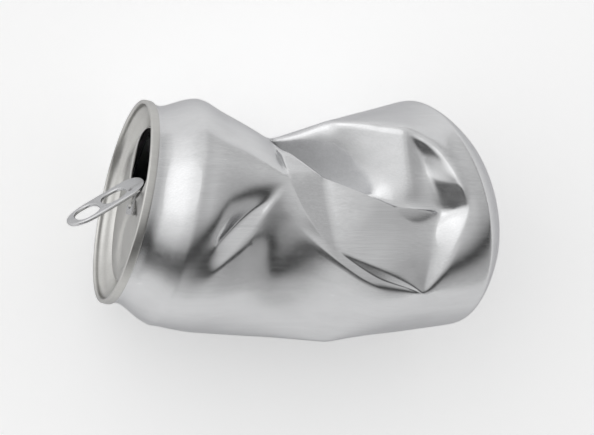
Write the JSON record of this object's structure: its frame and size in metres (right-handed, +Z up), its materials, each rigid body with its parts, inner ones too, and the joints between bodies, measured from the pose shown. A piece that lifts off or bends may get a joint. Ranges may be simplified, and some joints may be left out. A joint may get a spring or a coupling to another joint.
{
  "type": "crushed drink can",
  "caption": "Bare aluminium drink can, opened, bent and trodden flat in the middle, lying on its side with the pull tab lifted.",
  "frame": {"origin": "middle of the bounding box at the surface the can lies on", "axes": "+X along the can from the opened end to the base, +Z up from the surface it lies on"},
  "size_m": [0.1226, 0.0704, 0.0663],
  "materials": {
    "body_aluminium": "satin",
    "end_aluminium": "satin",
    "tab_aluminium": "polished"
  },
  "bodies": {
    "root": {"can_body": "body_aluminium", "can_end": "end_aluminium", "pull_tab": "tab_aluminium"}
  },
  "joints": []
}
